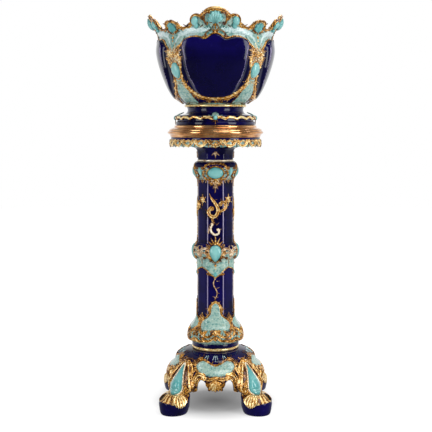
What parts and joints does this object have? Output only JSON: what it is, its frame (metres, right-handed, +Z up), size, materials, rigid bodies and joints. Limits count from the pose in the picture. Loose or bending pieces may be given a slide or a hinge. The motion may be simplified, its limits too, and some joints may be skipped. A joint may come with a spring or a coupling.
{
  "type": "jardiniere on stand",
  "caption": "Glazed ceramic jardiniere with a flared scalloped rim, resting on a tall pedestal stand with a faceted column and a domed base on scrolled legs.",
  "frame": {"origin": "centre of the footprint, on the floor under the four feet", "axes": "+Z up along the column; one of the four like faces looks along -Y"},
  "size_m": [0.4252, 0.4252, 1.22],
  "materials": {
    "gilt_glaze": "amber and gold glazed relief with bright gilt edges",
    "mottled_glaze": "pale turquoise glaze mottled with white and green, glossy",
    "cork": "ground cork, matt",
    "cobalt_glaze": "deep cobalt majolica glaze, glossy",
    "turquoise_glaze": "bright turquoise majolica glaze, glossy, darker where it pools",
    "leather": "brown leather, matt",
    "steel": "blackened iron, matt",
    "copper_gilt_glaze": "copper gold glaze in polished bands"
  },
  "bodies": {
    "stand": {"apron_scrolls": "gilt_glaze", "apron_shells": "gilt_glaze", "base_bands": "mottled_glaze", "base_bedding": "cork", "base_ring": "gilt_glaze", "capital": "cobalt_glaze", "capital_bedding": "cork", "capital_frill": "gilt_glaze", "column_bead": "gilt_glaze", "column_foot": "mottled_glaze", "column_foot_scrolls": "gilt_glaze", "column_shaft": "cobalt_glaze", "foot_back_left": "cobalt_glaze", "foot_back_right": "cobalt_glaze", "foot_front_left": "cobalt_glaze", "foot_front_right": "cobalt_glaze", "leg_back_left": "gilt_glaze", "leg_back_right": "gilt_glaze", "leg_drops": "turquoise_glaze", "leg_front_left": "gilt_glaze", "leg_front_right": "gilt_glaze", "lower_leather_pad": "leather", "lower_nut": "steel", "lower_washer": "steel", "mid_drapes": "mottled_glaze", "mid_gems": "turquoise_glaze", "mid_moulding": "mottled_glaze", "shaft_scrolls": "gilt_glaze", "shaft_vines": "gilt_glaze", "skirt_panels": "mottled_glaze", "stand_base": "cobalt_glaze", "tie_rod": "steel", "top_plate": "copper_gilt_glaze", "upper_collar": "mottled_glaze", "upper_frames": "gilt_glaze", "upper_gems": "turquoise_glaze", "upper_leather_pad": "leather", "upper_nut": "steel", "upper_washer": "steel"},
    "jardiniere": {"bowl": "mottled_glaze", "bowl_foot": "cobalt_glaze", "corner_crests": "gilt_glaze", "corner_gems": "turquoise_glaze", "corner_strap_back_left": "mottled_glaze", "corner_strap_back_right": "mottled_glaze", "corner_strap_front_left": "mottled_glaze", "corner_strap_front_right": "mottled_glaze", "crest_scrolls": "gilt_glaze", "crest_shells": "turquoise_glaze", "cushion_back": "cobalt_glaze", "cushion_frame_back": "gilt_glaze", "cushion_frame_front": "gilt_glaze", "cushion_frame_left": "gilt_glaze", "cushion_frame_right": "gilt_glaze", "cushion_front": "cobalt_glaze", "cushion_left": "cobalt_glaze", "cushion_right": "cobalt_glaze", "foot_band": "gilt_glaze", "foot_bead": "gilt_glaze", "foot_gems": "turquoise_glaze"}
  },
  "joints": [
    {"name": "jardiniere_lift", "type": "slide", "parent": "stand", "child": "jardiniere", "axis": [0, 0, 1], "range_m": [0, 0.08]}
  ]
}
